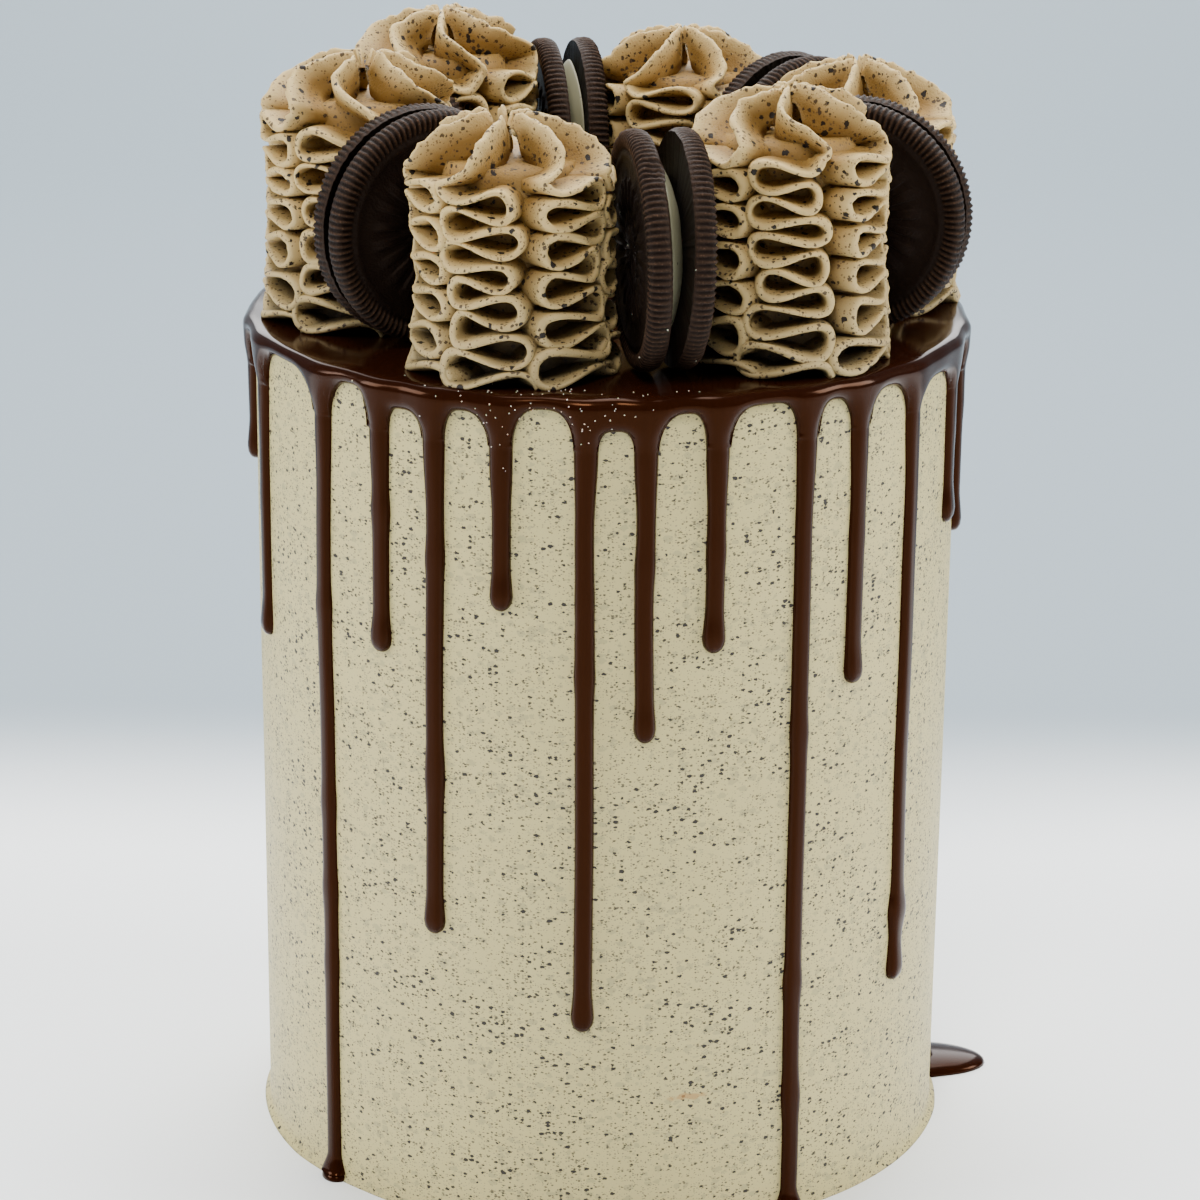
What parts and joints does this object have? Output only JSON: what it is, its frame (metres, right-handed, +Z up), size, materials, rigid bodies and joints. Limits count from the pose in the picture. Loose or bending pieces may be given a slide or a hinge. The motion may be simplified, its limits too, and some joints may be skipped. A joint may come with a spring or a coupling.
{
  "type": "layer cake",
  "caption": "Tall round frosted cake with a glossy poured glaze, long drips, and a ring of piped ruffle swirls and upright sandwich cookies.",
  "frame": {"origin": "centre of the cake's flat base", "axes": "+Z up along the cake's axis, the front of the cake towards -Y, +X to the right of someone facing it"},
  "size_m": [0.1442, 0.1456, 0.2228],
  "materials": {
    "speckled_frosting": "satin cream frosting with fine dark crumbs",
    "ganache": "glossy set chocolate glaze",
    "piped_buttercream": "soft matte piped buttercream with fine crumbs",
    "cocoa_wafer": "dry matte dark cocoa biscuit",
    "cookie_cream": "satin pale filling"
  },
  "bodies": {
    "root": {"cake_body": "speckled_frosting", "ganache_glaze": "ganache", "swirl_1": "piped_buttercream", "swirl_2": "piped_buttercream", "swirl_3": "piped_buttercream", "swirl_4": "piped_buttercream", "swirl_5": "piped_buttercream", "swirl_6": "piped_buttercream", "cookie_1_cream": "cookie_cream", "cookie_1_wafer_a": "cocoa_wafer", "cookie_1_wafer_b": "cocoa_wafer", "cookie_2_cream": "cookie_cream", "cookie_2_wafer_a": "cocoa_wafer", "cookie_2_wafer_b": "cocoa_wafer", "cookie_3_cream": "cookie_cream", "cookie_3_wafer_a": "cocoa_wafer", "cookie_3_wafer_b": "cocoa_wafer", "cookie_4_cream": "cookie_cream", "cookie_4_wafer_a": "cocoa_wafer", "cookie_4_wafer_b": "cocoa_wafer", "cookie_5_cream": "cookie_cream", "cookie_5_wafer_a": "cocoa_wafer", "cookie_5_wafer_b": "cocoa_wafer", "cookie_6_cream": "cookie_cream", "cookie_6_wafer_a": "cocoa_wafer", "cookie_6_wafer_b": "cocoa_wafer"}
  },
  "joints": []
}
